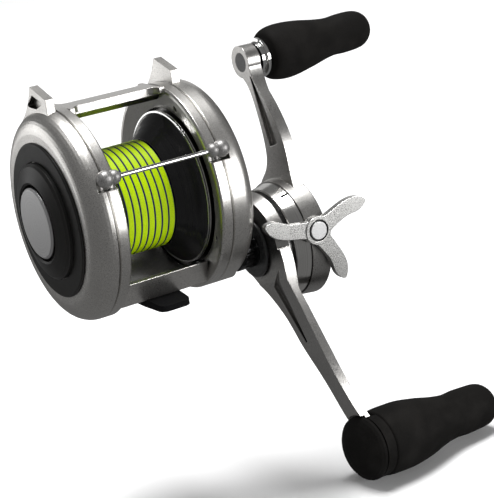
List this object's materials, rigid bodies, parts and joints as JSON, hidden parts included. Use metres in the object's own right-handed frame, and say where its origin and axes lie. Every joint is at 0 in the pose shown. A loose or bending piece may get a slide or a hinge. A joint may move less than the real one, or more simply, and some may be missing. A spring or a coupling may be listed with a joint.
{
  "type": "fishing reel",
  "caption": "Conventional fishing reel with an open round frame, wound spool, gear train, double-grip crank, star wheel and magnetic brake dial.",
  "frame": {"origin": "centre of the foot's flat underside, where it rests in a rod's reel seat", "axes": "+X along the spool's axis towards the crank, +Y towards the rod tip, +Z away from the rod"},
  "size_m": [0.1472, 0.0782, 0.1536],
  "materials": {
    "satin_alloy": "bead-blasted satin anodised",
    "black_alloy": "black anodised",
    "cover_black": "satin charcoal",
    "cap_grey": "fine satin",
    "steel": "turned",
    "chrome": "polished",
    "brass": "cut gear teeth",
    "line": "wound monofilament",
    "carbon": "woven friction disc",
    "magnet": "nickel plated",
    "dark_steel": "dark speckled",
    "grip_foam": "matt closed-cell foam",
    "plug_black": "moulded"
  },
  "bodies": {
    "frame": {"frame": "satin_alloy", "reel_foot": "black_alloy", "foot_screws": "steel", "left_side_plate": "satin_alloy", "left_plate_screws": "steel", "left_cover_ring": "cover_black", "left_bearing": "steel", "right_bearing": "steel", "right_side_plate": "satin_alloy", "right_plate_screws": "steel", "bridge_plate": "satin_alloy", "idler_pin": "steel", "shaft_bush": "brass", "guard_rod": "chrome", "guard_rod_ends": "dark_steel"},
    "dial": {"brake_dial": "cover_black", "dial_cap": "cap_grey"},
    "carrier": {"magnet_carrier": "black_alloy", "brake_magnets": "magnet"},
    "spool": {"spool": "black_alloy", "spool_rims": "chrome", "wound_line": "line", "spool_shaft": "steel", "spool_pinion": "brass", "rotor_cup": "satin_alloy"},
    "idler": {"idler_large_gear": "brass", "idler_small_gear": "steel"},
    "crank": {"crank_gear": "brass", "drive_shaft": "steel", "drive_sleeve": "black_alloy", "sleeve_flange": "black_alloy", "lower_crank_arm": "satin_alloy", "hub_spacer": "black_alloy", "hub_collar": "chrome", "drag_washers": "carbon", "drag_plates": "steel", "upper_crank_arm": "satin_alloy", "nut_washer": "steel", "handle_nut": "chrome", "upper_spindle": "steel", "upper_knob_collar": "chrome", "lower_spindle": "steel", "lower_eye_shroud": "plug_black"},
    "upper_knob": {"upper_grip": "grip_foam", "upper_grip_plug": "plug_black"},
    "lower_knob": {"lower_grip": "grip_foam", "lower_grip_plug": "plug_black", "lower_knob_dome": "plug_black"},
    "star": {"star_stem": "steel", "star_wheel": "satin_alloy", "star_cap_ring": "plug_black", "star_cap": "cap_grey"}
  },
  "joints": [
    {"name": "crank_turn", "type": "hinge", "parent": "frame", "child": "crank", "pos_m": [0.04, -0.0105, 0.0073], "axis": [1, 0, 0], "continuous": true},
    {"name": "spool_turn", "type": "hinge", "parent": "frame", "child": "spool", "pos_m": [0, 0, 0.0318], "axis": [1, 0, 0], "continuous": true},
    {"name": "idler_turn", "type": "hinge", "parent": "frame", "child": "idler", "pos_m": [0.0215, -0.00507, 0.01479], "axis": [1, 0, 0], "continuous": true},
    {"name": "upper_grip_spin", "type": "hinge", "parent": "crank", "child": "upper_knob", "pos_m": [0.0558, 0.00408, 0.06544], "axis": [0.9974, 0.0637, 0.0324], "continuous": true},
    {"name": "lower_grip_spin", "type": "hinge", "parent": "crank", "child": "lower_knob", "pos_m": [0.0606, -0.03256, -0.06544], "axis": [0.9884, 0.1293, -0.0801], "continuous": true},
    {"name": "star_turn", "type": "hinge", "parent": "crank", "child": "star", "pos_m": [0.0494, -0.0313, 0.0138], "axis": [0, -1, 0], "range_deg": [-170, 170]},
    {"name": "dial_turn", "type": "hinge", "parent": "frame", "child": "dial", "pos_m": [-0.0285, 0, 0.0318], "axis": [-1, 0, 0], "range_deg": [0, 300]},
    {"name": "carrier_slide", "type": "slide", "parent": "frame", "child": "carrier", "axis": [1, 0, 0], "range_m": [0, 0.0015]}
  ],
  "couplings": [
    {"joint": "spool_turn", "follows": "crank_turn", "ratio": 3.4921},
    {"joint": "idler_turn", "follows": "crank_turn", "ratio": -1.4667},
    {"joint": "carrier_slide", "follows": "dial_turn", "m_per_rad": 0.00028648}
  ]
}
